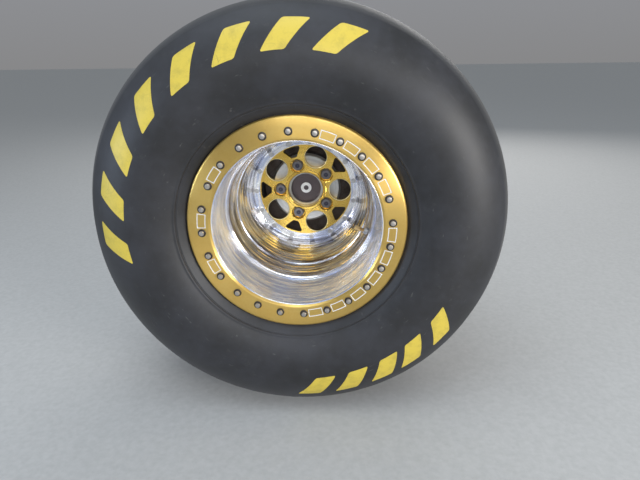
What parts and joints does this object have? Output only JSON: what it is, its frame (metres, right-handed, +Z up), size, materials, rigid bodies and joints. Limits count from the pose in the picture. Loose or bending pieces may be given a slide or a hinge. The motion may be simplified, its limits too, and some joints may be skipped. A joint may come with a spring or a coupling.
{
  "type": "beadlock drag racing rear wheel with slick tyre on its axle end",
  "caption": "Deep-dish beadlock drag racing rear wheel with a smooth slick tyre, turning on its axle shaft beside a brake caliper and bearing bracket.",
  "frame": {"origin": "on the wheel's axis, at the inboard face of the brake bracket where it bolts to the axle housing's flange", "axes": "+Z up, +X towards the car's front, +Y inboard along the axle; the wheel's outer face looks along -Y"},
  "size_m": [0.8126, 0.8711, 0.8124],
  "materials": {
    "tyre": "matte slick rubber with a faint sheen",
    "gold_anodised": "satin gold anodised",
    "polished_aluminium": "mirror polished",
    "zinc_steel": "zinc plated",
    "axle_steel": "machined",
    "machined_aluminium": "turned",
    "dark_anodised": "dark anodised",
    "brake_iron": "ground",
    "black_anodised": "hard anodised",
    "pad_lining": "matte friction lining on a steel plate",
    "black_zinc": "black zinc",
    "brass": "bright"
  },
  "bodies": {
    "axle_end": {"bracket": "black_zinc", "bearing_outer": "axle_steel", "caliper_outer": "black_anodised", "caliper_inner": "black_anodised", "caliper_bolts": "zinc_steel", "bleed_screws": "zinc_steel", "pad_outer": "pad_lining", "pad_inner": "pad_lining"},
    "wheel": {"tyre": "tyre", "clamp_ring": "gold_anodised", "clamp_bolts": "zinc_steel", "bead_ring": "machined_aluminium", "outer_shell": "polished_aluminium", "inner_shell": "polished_aluminium", "wheel_centre": "gold_anodised", "flange_bolts": "zinc_steel", "lug_nuts": "zinc_steel", "wheel_studs": "axle_steel", "axle_shaft": "axle_steel", "hub_plug": "dark_anodised", "rotor_hat": "machined_aluminium", "rotor_disc": "brake_iron", "rotor_bolts": "zinc_steel", "bearing_inner": "axle_steel", "retaining_collar": "axle_steel", "valve_stem": "brass"}
  },
  "joints": [
    {"name": "wheel_spin", "type": "hinge", "parent": "axle_end", "child": "wheel", "pos_m": [0, 0, 0], "axis": [0, 1, 0], "continuous": true}
  ]
}
